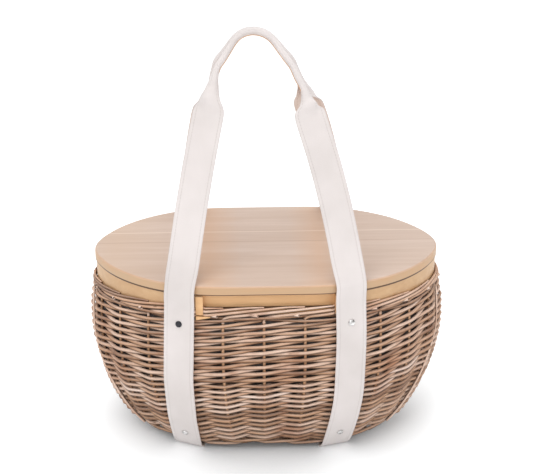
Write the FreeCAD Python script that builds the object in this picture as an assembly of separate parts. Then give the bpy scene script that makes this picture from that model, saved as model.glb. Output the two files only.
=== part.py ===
import FreeCAD, Part
import math
import os

# Wicker picnic basket: an oval willow body with a grey liner, a bent-wood rim, a hinged lid of glued
# boards, and two webbing handles, front and back, on straps that run down the walls and under the base.
# Millimetres. X runs along the length, -Y is the front, +Z is up.
# The origin is on the ground, under the middle of the basket.

V = FreeCAD.Vector

# plan outline: a straight run in front and behind, wide arcs, and tighter arcs round the two ends
STRAIGHT_SHARE = 0.239     # half of the straight run, as a share of the half length
END_RADIUS_SHARE = 0.570   # radius round the ends, as a share of the half depth

# willow body
GROUND_CLEARANCE = 2.0     # the foot stands on the two straps
FOOT_LENGTH = 169.0        # half sizes of the foot
FOOT_DEPTH = 100.0
BELLY_LENGTH = 236.5       # half sizes at the widest height
BELLY_DEPTH = 152.5
BELLY_HEIGHT = 155.0
MOUTH_HEIGHT = 225.0       # top of the woven border
MOUTH_LENGTH_LOSS = 5.0    # how much the half sizes draw in from the belly to the mouth
MOUTH_DEPTH_LOSS = 3.0
BORDER_BOTTOM = 204.0
WEAVE_SPLIT = 90.0         # the wall is woven in a lower and an upper zone
UPSETT_TOP = 30.0          # the first rows above the foot, which turn the walls up
WEAVE_THICK = 3.6
LOFT_STEP = 22.0           # largest height between two sections of the wall
FOOT_TOP = 6.0
FOOT_WIDTH = 9.0
BASE_TOP = 12.0
STAKES = 24
STAKE_RADIUS = 2.0
STAKE_DEPTH = 5.9          # from the outer surface to the stake's centre line
STAKE_BOTTOM = 16.0
STAKE_PHASE = -0.126       # of one pitch, from the middle of the front
LINER_DEPTH = 9.6
LINER_THICK = 3.0

# rim band
RIM_LENGTH = 227.0
RIM_DEPTH = 145.5
RIM_TOP = 239.0
RIM_BOTTOM = 213.0
RIM_THICK = 7.5
RAIL_HALF = 92.5           # the front rail, posts included
RECESS_HALF = 83.3
RECESS_BOTTOM = 221.0
RECESS_DEPTH = 5.5
RAIL_THICK = 13.0
POST_PROUD = 2.6           # the posts beside the recess stand in front of the rim, down into the border
POST_GAP = 0.2             # between a post and the border

# lid
LID_LENGTH = 228.5
LID_DEPTH = 147.0
LID_BOTTOM = 240.0
LID_TOP = 252.0
LID_ROUNDING = 2.6
GLUE_LINES = (10.0, 47.0)
BATTEN_X = 150.0
BATTEN_SIZE = (32.0, 180.0, 9.0)
BATTEN_ROUNDING = 2.0
BATTEN_SCREW_Y = (-60.0, 28.0, 75.0)
SCREW_RADIUS = 1.6
SCREW_HEAD_RADIUS = 3.2
SCREW_HEAD_HEIGHT = 2.0
SCREW_BITE = 7.0           # into the lid

# hinges
HINGE_X = 45.0
HINGE_LENGTH = 40.0
HINGE_Y = 147.9
HINGE_Z = 239.5
KNUCKLE_RADIUS = 2.2
PIN_RADIUS = 1.2
PIN_CLEARANCE = 0.05
LEAF_THICK = 1.2
MIDDLE_KNUCKLE = 14.0
HINGE_GAP = 0.5
LID_LEAF_LET_IN = 0.2      # into the lid's edge
FRAME_LEAF_LET_IN = 0.3    # into the rim band
LEAF_ABOVE_BORDER = 1.5
HINGE_SCREW_SHIFT = 13.0   # from the middle of the hinge
LID_SCREW_Z = 246.2
FRAME_SCREW_Z = 231.2
HINGE_SCREW_RADIUS = 1.0
HINGE_SCREW_LENGTH = 6.5
HINGE_HEAD_RADII = (1.6, 2.1)
HINGE_HEAD_THICK = 0.5

# webbing
WEB_WIDTH = 40.0
WEB_THICK = 2.0
WEB_CLEARANCE = 0.8        # between the willow and the webbing
STRAP_TOP = 237.0
STRAP_GAP = 0.4            # between the strap on the body and the handle's leg above it
STRAP_X = {                # (side, hand): (height, centre line) up the wall; side -1 front, hand -1 left
    (-1, -1): ((0.0, -106.0), (60.0, -113.0), (120.0, -116.0), (240.0, -112.0)),
    (-1, 1): ((0.0, 87.5), (33.0, 92.8), (60.0, 97.5), (95.0, 102.0), (175.0, 104.0), (240.0, 102.5)),
    (1, -1): ((0.0, -102.0), (240.0, -103.0)),
    (1, 1): ((0.0, 98.0), (240.0, 99.0)),
}
STRAP_HEIGHTS = (205, 185, 165, 145, 125, 106, 88, 72, 58, 46, 36, 27, 19, 12, 6)
# the turn under the foot: outwards from the willow's lower edge, height, and the face's fall in degrees
STRAP_TURN = ((-1.9, 1.9, 69.0), (-5.8, 1.0, 90.0))
STRAP_FLAT_START = 22.0    # the straps lie flat and square from this far inside the foot
FLATNESS = 0.0001          # how far a corner may stand off the plane of the other three

# rivets
RIVET_HEIGHTS = (201.0, 33.0)
RIVET_HEAD_RADIUS = 4.2
RIVET_HEAD_THICK = 1.7
RIVET_HEAD_ROUNDING = 1.2
RIVET_SHANK_RADIUS = 1.8
RIVET_CLEARANCE = 0.05
WASHER_RADIUS = 5.5
WASHER_THICK = 0.8
WASHER_DEPTH = 8.4         # behind the stakes

# handles: the legs lean over the lid from the rim to the grip
LEG_FOOT_Y = 143.0
LEG_FOOT_Z = 253.0
GRIP_Y = 8.8               # centre line of the grip at its top
FRONT_GRIP_Z = 543.5
BACK_GRIP_Z = 537.5
GRIP_START = 45.6          # along the leg, below the grip's top
GRIP_ARC_RADIUS = 30.0
GRIP_ARC_TURN = 58.0       # degrees each side of the top
GRIP_TOP_X = -15.5
GRIP_HALF_THICK = 5.5      # in the plane of the loop
GRIP_HALF_WIDTH = 8.5      # across it
LEG_BOW = {-1: 3.0, 1: 8.0}   # how far the left and the right leg bow outwards
FOLD_START = 0.79          # of the leg, where it begins to narrow into the grip
LEG_SHARES = (0.33, 0.6, FOLD_START)
LEG_CLEARANCE = 1.2        # between the lid's edge and the legs
LEG_END_GAP = 0.2
FRONT_LEG_BASE = (-4.0, 107.0)   # middle and half spacing at the rim
BACK_LEG_BASE = (-1.5, 101.0)


def interpolate(table, x):
    for (x0, y0), (x1, y1) in zip(table, table[1:]):
        if x <= x1:
            return y0 + (y1 - y0) * (x - x0) / (x1 - x0)
    return table[-1][1]


def belly_share(z):
    """0 at the foot, 1 at the belly: a curve between a quarter circle and a parabola."""
    u = (z - GROUND_CLEARANCE) / (BELLY_HEIGHT - GROUND_CLEARANCE)
    u = min(max(u, 0.0), 1.0)
    rest = (1 - u) ** 2
    return 0.5 * (math.sqrt(1 - rest) + 1 - rest)


def wall_sizes(z):
    """Half length and half depth of the willow body at height z."""
    share = belly_share(z)
    above = max(z - BELLY_HEIGHT, 0.0) / (MOUTH_HEIGHT - BELLY_HEIGHT)
    length = FOOT_LENGTH + (BELLY_LENGTH - FOOT_LENGTH) * share - MOUTH_LENGTH_LOSS * above ** 2
    depth = FOOT_DEPTH + (BELLY_DEPTH - FOOT_DEPTH) * share - MOUTH_DEPTH_LOSS * above ** 2
    return length, depth


def slant_factor(z):
    """How much longer a horizontal step is than the same step square to the wall."""
    step = 0.5
    slope = (wall_sizes(z + step)[0] - wall_sizes(z - step)[0]) / (2 * step)
    return math.sqrt(1 + slope ** 2)


def oval_terms(length, depth):
    """Straight half run, end radius, wide radius, and half the turn of an end arc."""
    straight = STRAIGHT_SHARE * length
    end = END_RADIUS_SHARE * depth
    run = length - end - straight
    wide = (run ** 2 + depth ** 2 - end ** 2) / (2 * (depth - end))
    return straight, end, wide, math.atan2(wide - depth, run)


def oval(length, depth, z, inset=0.0):
    """The closed outline at height z, moved inwards by inset."""
    straight, end, wide, half_turn = oval_terms(length, depth)
    middle = half_turn + (math.pi / 2 - half_turn) / 2
    rise = wide - depth

    def on_wide(angle, sx, sy):
        radius = wide - inset
        return V(sx * (straight + radius * math.cos(angle)), sy * (radius * math.sin(angle) - rise), z)

    def on_end(angle, sx):
        radius = end - inset
        return V(sx * (length - end + radius * math.cos(angle)), radius * math.sin(angle), z)

    top = math.pi / 2
    edges = [
        Part.Arc(on_end(-half_turn, 1), on_end(0, 1), on_end(half_turn, 1)).toShape(),
        Part.Arc(on_wide(half_turn, 1, 1), on_wide(middle, 1, 1), on_wide(top, 1, 1)).toShape(),
        Part.LineSegment(on_wide(top, 1, 1), on_wide(top, -1, 1)).toShape(),
        Part.Arc(on_wide(top, -1, 1), on_wide(middle, -1, 1), on_wide(half_turn, -1, 1)).toShape(),
        Part.Arc(on_end(half_turn, -1), on_end(0, -1), on_end(-half_turn, -1)).toShape(),
        Part.Arc(on_wide(half_turn, -1, -1), on_wide(middle, -1, -1), on_wide(top, -1, -1)).toShape(),
        Part.LineSegment(on_wide(top, -1, -1), on_wide(top, 1, -1)).toShape(),
        Part.Arc(on_wide(top, 1, -1), on_wide(middle, 1, -1), on_wide(half_turn, 1, -1)).toShape(),
    ]
    return Part.Wire(edges)


def oval_prism(length, depth, bottom, top, inset=0.0):
    face = Part.Face(oval(length, depth, bottom, inset))
    return face.extrude(V(0, 0, top - bottom))


def wall_loft(bottom, top, depth_in):
    """The solid inside the willow body's outer surface, or inside a surface depth_in further in."""
    steps = max(int((top - bottom) / LOFT_STEP), 3)
    heights = [bottom + (top - bottom) * (k / steps) ** 1.5 for k in range(steps + 1)]
    wires = [oval(*wall_sizes(z), z, depth_in * slant_factor(z)) for z in heights]
    return Part.makeLoft(wires, True, False)


def oval_at(fraction, z, depth_in=0.0):
    """The point a fraction of the way round the wall from the middle of the front, depth_in behind it."""
    length, depth = wall_sizes(z)
    straight, end, wide, half_turn = oval_terms(length, depth)
    wide_turn = math.pi / 2 - half_turn
    quarter = straight + wide * wide_turn + end * half_turn
    way = (fraction % 1.0) * 4
    number = int(way)
    along = (way - number) * quarter
    if number % 2:
        along = quarter - along
    if along < straight:
        x, y, turn = along, depth, 0.0
    elif along < straight + wide * wide_turn:
        turn = (along - straight) / wide
        x = straight + wide * math.sin(turn)
        y = depth - wide + wide * math.cos(turn)
    else:
        turn = wide_turn + (along - straight - wide * wide_turn) / end
        x = length - end + end * math.sin(turn)
        y = end * math.cos(turn)
    sx = 1 if number in (0, 1) else -1
    sy = -1 if number in (0, 3) else 1
    outward = V(sx * math.sin(turn), sy * math.cos(turn), 0)
    slant = slant_factor(z)
    fall = math.sqrt(slant ** 2 - 1) if z < BELLY_HEIGHT else 0.0
    normal = V(outward.x / slant, outward.y / slant, -fall / slant)
    return V(sx * x, sy * y, z) - normal * depth_in


def wall_spot(x, z, side, length=None, depth=None):
    """The wall's point at x and z, in front (side -1) or behind (1), its normal and its level tangent."""
    def y_at(height):
        size = (length, depth) if length else wall_sizes(height)
        straight, _, wide, _ = oval_terms(*size)
        over = max(abs(x) - straight, 0.0)
        return size[1] - wide + math.sqrt(wide ** 2 - over ** 2), over / wide

    y, lean = y_at(z)
    step = 0.5
    growth = (y_at(z + step)[0] - y_at(z - step)[0]) / (2 * step)
    across = math.copysign(lean, x)
    level = math.sqrt(1 - lean ** 2)
    normal = V(across, side * level, -growth * level)
    normal.normalize()
    return V(x, side * y, z), normal, V(level, -side * across, 0)


def section(centre, normal, along, width, thick):
    """The corners of a rectangle, width along one direction and thick along the other."""
    across = along * (width / 2)
    proud = normal * (thick / 2)
    low, high = centre - proud, centre + proud
    return [low - across, low + across, high + across, high - across]


def polygon(corners):
    return Part.makePolygon(corners + corners[:1])


def band(sections):
    """A solid through rectangles, with a flat face wherever four corners lie in one plane."""
    faces = [Part.Face(polygon(sections[0])), Part.Face(polygon(sections[-1]))]
    for near, far in zip(sections, sections[1:]):
        for k in range(4):
            a, b, c, d = near[k - 1], near[k], far[k], far[k - 1]
            if abs((b - a).cross(c - a).normalize().dot(d - a)) < FLATNESS:
                faces.append(Part.Face(polygon([a, b, c, d])))
            else:
                faces.append(Part.makeRuledSurface(Part.makeLine(a, b), Part.makeLine(d, c)))
    shell = Part.makeShell(faces)
    shell.sewShape()
    return Part.makeSolid(shell)


def box(x0, x1, y0, y1, z0, z1):
    return Part.makeBox(x1 - x0, y1 - y0, z1 - z0, V(x0, y0, z0))


def strap_x(z, side, hand):
    """Centre line of a strap: side -1 front or 1 back, hand -1 left or 1 right."""
    return interpolate(STRAP_X[side, hand], z)


# ---------------------------------------------------------------- willow body and liner

def body_shells():
    outer = wall_loft(FOOT_TOP, MOUTH_HEIGHT, 0.0)
    inner = wall_loft(BASE_TOP, MOUTH_HEIGHT + 1, WEAVE_THICK)
    base_hole = oval_prism(FOOT_LENGTH, FOOT_DEPTH, 0, BASE_TOP + 1, FOOT_WIDTH)
    shell = outer.cut([inner, base_hole])
    reach = BELLY_LENGTH + 10
    upsett = shell.common(box(-reach, reach, -reach, reach, 0, UPSETT_TOP))
    lower = shell.common(box(-reach, reach, -reach, reach, UPSETT_TOP, WEAVE_SPLIT))
    upper = shell.common(box(-reach, reach, -reach, reach, WEAVE_SPLIT, BORDER_BOTTOM))
    crown = outer.common(box(-reach, reach, -reach, reach, BORDER_BOTTOM, MOUTH_HEIGHT))
    mouth = oval_prism(RIM_LENGTH, RIM_DEPTH, BORDER_BOTTOM - 1, MOUTH_HEIGHT + 1)
    border = crown.cut([mouth] + posts(POST_GAP))
    return upsett, lower, upper, border


def foot_border():
    outside = oval_prism(FOOT_LENGTH, FOOT_DEPTH, GROUND_CLEARANCE, FOOT_TOP)
    return outside.cut(oval_prism(FOOT_LENGTH, FOOT_DEPTH, 0, FOOT_TOP + 1, FOOT_WIDTH))


def base_weave():
    return oval_prism(FOOT_LENGTH, FOOT_DEPTH, GROUND_CLEARANCE + 1, BASE_TOP, FOOT_WIDTH)


def stakes():
    """Upright rods just inside the weave, each a chain of short tapers that follows the wall."""
    levels = 9
    rods = []
    for number in range(STAKES):
        fraction = (number + STAKE_PHASE) / STAKES
        points = []
        for k in range(levels + 1):
            z = STAKE_BOTTOM + (BORDER_BOTTOM - 1 - STAKE_BOTTOM) * (k / levels) ** 1.3
            points.append(oval_at(fraction, z, STAKE_DEPTH))
        rings = []
        for k, point in enumerate(points):
            ahead = points[min(k + 1, levels)] - points[max(k - 1, 0)]
            rings.append(Part.Wire(Part.makeCircle(STAKE_RADIUS, point, ahead)))
        rods.append(Part.makeLoft(rings, True, True))
    return Part.makeCompound(rods)


def liner():
    outer = wall_loft(BASE_TOP, RIM_BOTTOM - 0.5, LINER_DEPTH)
    inner = wall_loft(BASE_TOP + LINER_THICK, RIM_BOTTOM + 1, LINER_DEPTH + LINER_THICK)
    return outer.cut(inner)


# ---------------------------------------------------------------- rim

def posts(gap):
    """The two uprights beside the recess, or with a gap the room that they need."""
    proud = POST_PROUD + gap
    shell = oval_prism(RIM_LENGTH + proud, RIM_DEPTH + proud, RIM_BOTTOM - gap, RIM_TOP)
    shell = shell.cut(oval_prism(RIM_LENGTH, RIM_DEPTH, 0, RIM_TOP + 1, RIM_THICK))
    near, far = RECESS_HALF - gap, RAIL_HALF + gap
    spans = ((-far, -near), (near, far))
    return [shell.common(box(x0, x1, -BELLY_DEPTH, 0, 0, RIM_TOP + 1)) for x0, x1 in spans]


def rim_pieces(hinge_cuts):
    ring = oval_prism(RIM_LENGTH, RIM_DEPTH, RIM_BOTTOM, RIM_TOP)
    ring = ring.cut(oval_prism(RIM_LENGTH, RIM_DEPTH, 0, RIM_TOP + 1, RIM_THICK))
    reach = BELLY_LENGTH
    rail_space = box(-RAIL_HALF, RAIL_HALF, -reach, 0, 0, RIM_TOP + 1)
    ring = ring.cut([rail_space] + hinge_cuts)
    left = ring.common(box(-reach, 0, -reach, reach, 0, RIM_TOP + 1))
    right = ring.common(box(0, reach, -reach, reach, 0, RIM_TOP + 1))
    thick = oval_prism(RIM_LENGTH, RIM_DEPTH, RIM_BOTTOM, RIM_TOP)
    thick = thick.cut(oval_prism(RIM_LENGTH, RIM_DEPTH, 0, RIM_TOP + 1, RAIL_THICK))
    rail = thick.common(rail_space)
    front = oval_prism(RIM_LENGTH + 5, RIM_DEPTH + 5, RECESS_BOTTOM, RIM_TOP + 1)
    front = front.cut(oval_prism(RIM_LENGTH, RIM_DEPTH, 0, RIM_TOP + 1, RECESS_DEPTH))
    rail = rail.cut(front.common(box(-RECESS_HALF, RECESS_HALF, -reach, 0, 0, RIM_TOP + 1)))
    return left, right, rail.fuse(posts(0.0)).removeSplitter()


# ---------------------------------------------------------------- lid

def screw(x, y, bottom, length):
    """A countersunk screw that points up, with its head at bottom."""
    direction = V(0, 0, 1)
    place = V(x, y, bottom)
    head = Part.makeCone(SCREW_HEAD_RADIUS, SCREW_RADIUS, SCREW_HEAD_HEIGHT, place, direction)
    return head.fuse(Part.makeCylinder(SCREW_RADIUS, length, place, direction)).removeSplitter()


def lid_pieces(hinge_cuts):
    panel = oval_prism(LID_LENGTH, LID_DEPTH, LID_BOTTOM, LID_TOP)
    rim = [e for e in panel.Edges if all(abs(v.Z - LID_TOP) < 1e-6 for v in e.Vertexes)]
    panel = panel.makeFillet(LID_ROUNDING, rim)
    width, length, height = BATTEN_SIZE
    battens = []
    screws = []
    for hand in (-1, 1):
        x = hand * BATTEN_X
        bottom = LID_BOTTOM - height
        shape = box(x - width / 2, x + width / 2, -length / 2, length / 2, bottom, LID_BOTTOM)
        lower = [e for e in shape.Edges if all(abs(v.Z - bottom) < 1e-6 for v in e.Vertexes)]
        battens.append(shape.makeFillet(BATTEN_ROUNDING, lower))
        for y in BATTEN_SCREW_Y:
            screws.append(screw(x, y, bottom, height + SCREW_BITE))
    panel = panel.cut(screws + hinge_cuts)
    battens = [b.cut(screws) for b in battens]
    edges = (-LID_DEPTH - 1,) + GLUE_LINES + (LID_DEPTH + 1,)
    reach = LID_LENGTH + 1
    spans = zip(edges, edges[1:])
    boards = [panel.common(box(-reach, reach, y0, y1, 0, LID_TOP + 1)) for y0, y1 in spans]
    return boards, battens, Part.makeCompound(screws)


# ---------------------------------------------------------------- hinges

def leaf_plate(x, on_lid):
    """A hinge leaf's flat plate, cut back from the other leaf's knuckles."""
    half = HINGE_LENGTH / 2
    mid = MIDDLE_KNUCKLE / 2
    clear = KNUCKLE_RADIUS + HINGE_GAP
    if on_lid:
        face = LID_DEPTH - LID_LEAF_LET_IN
        plate = box(x - half, x + half, face, face + LEAF_THICK, HINGE_Z + clear, LID_TOP - LID_ROUNDING)
        mid -= HINGE_GAP
        neck = box(x - mid, x + mid, face, face + LEAF_THICK, HINGE_Z, HINGE_Z + clear)
        return plate.fuse(neck)
    face = RIM_DEPTH - FRAME_LEAF_LET_IN
    bottom = MOUTH_HEIGHT + LEAF_ABOVE_BORDER
    plate = box(x - half, x + half, face, face + LEAF_THICK, bottom, HINGE_Z - clear)
    left = box(x - half, x - mid, face, face + LEAF_THICK, HINGE_Z - clear, HINGE_Z)
    right = box(x + mid, x + half, face, face + LEAF_THICK, HINGE_Z - clear, HINGE_Z)
    return plate.fuse([left, right])


def barrel(x0, x1, radius):
    return Part.makeCylinder(radius, x1 - x0, V(x0, HINGE_Y, HINGE_Z), V(1, 0, 0))


def hinge_screws(x, on_lid):
    """The two screws of one leaf, with their heads on the leaf's outer face."""
    z = LID_SCREW_Z if on_lid else FRAME_SCREW_Z
    seat = LEAF_THICK + (LID_DEPTH - LID_LEAF_LET_IN if on_lid else RIM_DEPTH - FRAME_LEAF_LET_IN)
    found = []
    for shift in (-HINGE_SCREW_SHIFT, HINGE_SCREW_SHIFT):
        place = V(x + shift, seat, z)
        head = Part.makeCone(*HINGE_HEAD_RADII, HINGE_HEAD_THICK, place, V(0, 1, 0))
        top = place + V(0, HINGE_HEAD_THICK, 0)
        shank = Part.makeCylinder(HINGE_SCREW_RADIUS, HINGE_SCREW_LENGTH, top, V(0, -1, 0))
        found.append(head.fuse(shank).removeSplitter())
    return found


def hinge(x):
    half = HINGE_LENGTH / 2
    mid = MIDDLE_KNUCKLE / 2
    frame_screws = hinge_screws(x, False)
    lid_screws = hinge_screws(x, True)
    frame_leaf = leaf_plate(x, False).fuse([
        barrel(x - half, x - mid, KNUCKLE_RADIUS), barrel(x + mid, x + half, KNUCKLE_RADIUS)])
    frame_leaf = frame_leaf.cut([barrel(x - half, x + half, PIN_RADIUS)] + frame_screws)
    lid_leaf = leaf_plate(x, True).fuse(barrel(x - mid + HINGE_GAP, x + mid - HINGE_GAP, KNUCKLE_RADIUS))
    lid_leaf = lid_leaf.cut([barrel(x - half, x + half, PIN_RADIUS + PIN_CLEARANCE)] + lid_screws)
    pin = barrel(x - half, x + half, PIN_RADIUS)
    return frame_leaf.removeSplitter(), lid_leaf.removeSplitter(), pin, frame_screws, lid_screws


# ---------------------------------------------------------------- webbing on the body

def strap_sections(side, hand):
    """Sections from the rim down the wall to the underside of the base."""
    lift = WEB_CLEARANCE + WEB_THICK / 2
    found = []
    for z in (STRAP_TOP, MOUTH_HEIGHT) + STRAP_HEIGHTS:
        x = strap_x(z, side, hand)
        point, normal, along = wall_spot(x, min(z, MOUTH_HEIGHT), side)
        if z > MOUTH_HEIGHT - 1:
            normal = V(normal.x, normal.y, 0).normalize()
            point = V(point.x, point.y, z)
        found.append(section(point + normal * lift, normal, along, WEB_WIDTH, WEB_THICK))
    x = strap_x(0, side, hand)
    edge, _, along = wall_spot(x, FOOT_TOP, side)
    level = V(-side * along.y, side * along.x, 0)
    for out, height, fall in STRAP_TURN:
        fall = math.radians(fall)
        normal = V(level.x * math.cos(fall), level.y * math.cos(fall), -math.sin(fall))
        centre = V(edge.x, edge.y, height) + level * out
        found.append(section(centre, normal, along, WEB_WIDTH, WEB_THICK))
    under = V(x, side * (FOOT_DEPTH - STRAP_FLAT_START), WEB_THICK / 2)
    found.append(section(under, V(0, 0, -1), V(1, 0, 0), WEB_WIDTH, WEB_THICK))
    return found


def strap(hand, rivet_holes):
    """One run of webbing: down the front wall, under the base and up the back wall."""
    run = band(strap_sections(-1, hand) + strap_sections(1, hand)[::-1])
    for hole in rivet_holes:
        run = run.cut(hole)
    return run


# ---------------------------------------------------------------- rivets

def rivet_parts(side, hand, z):
    """A dome-head rivet through strap and weave, the washer behind it, and the hole they need."""
    point, normal, _ = wall_spot(strap_x(z, side, hand), z, side)
    face = point + normal * (WEB_CLEARANCE + WEB_THICK + RIVET_CLEARANCE)
    head = Part.makeCylinder(RIVET_HEAD_RADIUS, RIVET_HEAD_THICK, face, normal)
    crown = [e for e in head.Edges if abs((e.CenterOfMass - face).dot(normal) - RIVET_HEAD_THICK) < 1e-6
             and len(e.Vertexes) == 1]
    head = head.makeFillet(RIVET_HEAD_ROUNDING, crown)
    inner = point - normal * (WASHER_DEPTH + WASHER_THICK)
    reach = WASHER_DEPTH + WASHER_THICK + WEB_CLEARANCE + WEB_THICK + 2 * RIVET_CLEARANCE
    shank = Part.makeCylinder(RIVET_SHANK_RADIUS, reach, inner, normal)
    washer = Part.makeCylinder(WASHER_RADIUS, WASHER_THICK, inner, normal).cut(shank)
    hole = Part.makeCylinder(RIVET_SHANK_RADIUS + RIVET_CLEARANCE, reach + 4, inner - normal * 2, normal)
    return head.fuse(shank), washer, hole


# ---------------------------------------------------------------- handles

def handle(side, grip_z, base):
    """Two legs and the folded grip that joins them: (left leg, right leg, grip)."""
    foot = V(0, side * LEG_FOOT_Y, LEG_FOOT_Z)
    top = V(0, side * GRIP_Y, grip_z)
    up = V(0, top.y - foot.y, top.z - foot.z)
    length = up.Length
    up.normalize()
    out = V(0, side * up.z, -side * up.y)
    right = V(1, 0, 0)

    def place(x, along):
        return foot + up * along + right * x

    turn = math.radians(GRIP_ARC_TURN)
    arc_x = GRIP_ARC_RADIUS * math.sin(turn)
    arc_drop = GRIP_ARC_RADIUS * (1 - math.cos(turn))
    limb_run = (GRIP_START - arc_drop) / math.tan(turn)
    start = length - GRIP_START
    limb_x = {hand: GRIP_TOP_X + hand * (arc_x + limb_run) for hand in (-1, 1)}
    lower = {hand: place(limb_x[hand], start) for hand in (-1, 1)}
    upper = {hand: place(GRIP_TOP_X + hand * arc_x, length - arc_drop) for hand in (-1, 1)}
    path = Part.Wire([
        Part.LineSegment(lower[-1], upper[-1]).toShape(),
        Part.Arc(upper[-1], place(GRIP_TOP_X, length), upper[1]).toShape(),
        Part.LineSegment(upper[1], lower[1]).toShape(),
    ])
    tangent = (upper[-1] - lower[-1]).normalize()
    profile = Part.Ellipse(lower[-1] + out * GRIP_HALF_WIDTH,
                           lower[-1] + out.cross(tangent) * GRIP_HALF_THICK, lower[-1])
    grip = path.makePipeShell([Part.Wire(profile.toShape())], True, False)

    middle, spread = base
    legs = []
    for hand in (-1, 1):
        x = middle + hand * spread
        point, normal, along = wall_spot(x, MOUTH_HEIGHT, side)
        low = V(point.x, point.y, STRAP_TOP + STRAP_GAP) + normal * (WEB_CLEARANCE + WEB_THICK / 2)
        edge, level, edge_along = wall_spot(x, 0, side, LID_LENGTH, LID_DEPTH)
        bend = V(edge.x, edge.y, LEG_FOOT_Z) + level * (WEB_THICK / 2 + LEG_CLEARANCE)
        sections = [section(low, V(normal.x, normal.y, 0).normalize(), along, WEB_WIDTH, WEB_THICK),
                    section(bend, level, edge_along, WEB_WIDTH, WEB_THICK)]
        for share in LEG_SHARES:
            bow = LEG_BOW[hand] * math.sin(math.pi * share)
            centre_x = x + (limb_x[hand] - x) * share + hand * bow
            sections.append(section(place(centre_x, start * share), out, right, WEB_WIDTH, WEB_THICK))
        end = place(limb_x[hand], start - LEG_END_GAP)
        sections.append(section(end, out, right, 2 * GRIP_HALF_THICK, GRIP_HALF_WIDTH))
        legs.append(Part.makeLoft([polygon(s) for s in sections], True, True).cut(grip))
    return legs[0], legs[1], grip


# ---------------------------------------------------------------- export

def main():
    nodes = {}
    upsett, lower, upper, border = body_shells()

    rivets = {}
    washers = []
    holes = {-1: [], 1: []}
    for side, name in ((-1, "front"), (1, "back")):
        for z, level in zip(RIVET_HEIGHTS, ("upper", "lower")):
            rivets[name + "_" + level] = []
            for hand in (-1, 1):
                rivet, washer, hole = rivet_parts(side, hand, z)
                rivets[name + "_" + level].append(rivet)
                washers.append(washer)
                holes[hand].append(hole)
    for name, pair in rivets.items():
        nodes[name + "_rivets"] = Part.makeCompound(pair)
    nodes["rivet_washers"] = Part.makeCompound(washers)

    nodes["foot_border"] = foot_border()
    nodes["base_weave"] = base_weave()
    nodes["upsett_weave"] = upsett.cut(holes[-1] + holes[1])
    nodes["lower_weave"] = lower.cut(holes[-1] + holes[1])
    nodes["upper_weave"] = upper.cut(holes[-1] + holes[1])
    nodes["top_border"] = border
    nodes["stakes"] = stakes().cut(holes[-1] + holes[1])
    nodes["liner"] = liner()

    frame_screws = []
    lid_screws = []
    frame_cuts = []
    lid_cuts = []
    for hand, name in ((-1, "left"), (1, "right")):
        x = hand * HINGE_X
        frame_leaf, lid_leaf, pin, in_frame, in_lid = hinge(x)
        nodes["hinge_frame_leaf_" + name] = frame_leaf
        nodes["hinge_lid_leaf_" + name] = lid_leaf
        nodes["hinge_pin_" + name] = pin
        room = barrel(x - HINGE_LENGTH / 2 - 1, x + HINGE_LENGTH / 2 + 1, KNUCKLE_RADIUS + HINGE_GAP)
        frame_cuts += [leaf_plate(x, False), room] + in_frame
        lid_cuts += [leaf_plate(x, True), room] + in_lid
        frame_screws += in_frame
        lid_screws += in_lid
    nodes["hinge_frame_screws"] = Part.makeCompound(frame_screws)
    nodes["hinge_lid_screws"] = Part.makeCompound(lid_screws)

    nodes["rim_band_left"], nodes["rim_band_right"], nodes["front_rail"] = rim_pieces(frame_cuts)
    boards, battens, screws = lid_pieces(lid_cuts)
    nodes["lid_board_front"], nodes["lid_board_middle"], nodes["lid_board_back"] = boards
    nodes["lid_batten_left"], nodes["lid_batten_right"] = battens
    nodes["batten_screws"] = screws

    nodes["strap_left"] = strap(-1, holes[-1])
    nodes["strap_right"] = strap(1, holes[1])
    for side, name, grip_z, base in ((-1, "front", FRONT_GRIP_Z, FRONT_LEG_BASE),
                                     (1, "back", BACK_GRIP_Z, BACK_LEG_BASE)):
        left, right, grip = handle(side, grip_z, base)
        nodes[name + "_leg_left"] = left
        nodes[name + "_leg_right"] = right
        nodes[name + "_grip"] = grip

    os.makedirs("parts", exist_ok=True)
    for name, shape in nodes.items():
        solids = shape.Solids
        print(name, "solids", len(solids), "valid", shape.isValid(), "volume", round(shape.Volume))
        shape.exportStep("parts/" + name + ".step")


main()
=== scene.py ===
import math
import random

import bpy
from mathutils import Matrix, Vector, noise


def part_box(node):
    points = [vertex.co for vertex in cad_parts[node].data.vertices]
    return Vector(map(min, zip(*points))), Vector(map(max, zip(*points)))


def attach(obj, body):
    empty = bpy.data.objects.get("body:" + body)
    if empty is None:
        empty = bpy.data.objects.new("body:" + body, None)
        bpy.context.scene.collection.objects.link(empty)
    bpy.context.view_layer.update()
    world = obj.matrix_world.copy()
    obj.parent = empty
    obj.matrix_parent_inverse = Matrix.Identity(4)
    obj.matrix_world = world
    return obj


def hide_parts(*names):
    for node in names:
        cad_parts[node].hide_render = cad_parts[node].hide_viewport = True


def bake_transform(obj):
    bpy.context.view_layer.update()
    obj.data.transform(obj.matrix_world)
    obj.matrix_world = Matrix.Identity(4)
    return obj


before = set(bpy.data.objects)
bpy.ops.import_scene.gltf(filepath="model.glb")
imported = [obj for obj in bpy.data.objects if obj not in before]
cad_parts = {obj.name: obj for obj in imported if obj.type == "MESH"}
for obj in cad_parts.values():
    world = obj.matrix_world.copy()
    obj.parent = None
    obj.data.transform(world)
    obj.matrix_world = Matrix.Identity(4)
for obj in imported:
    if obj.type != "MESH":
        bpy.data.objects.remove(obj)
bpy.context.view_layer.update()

# Wicker picnic basket: the woven willow, the liner, the webbing and every finish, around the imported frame.
# Metres. X runs along the length, -Y is the front, +Z is up.

# ---------------------------------------------------------------- sizes shared with the frame

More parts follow.
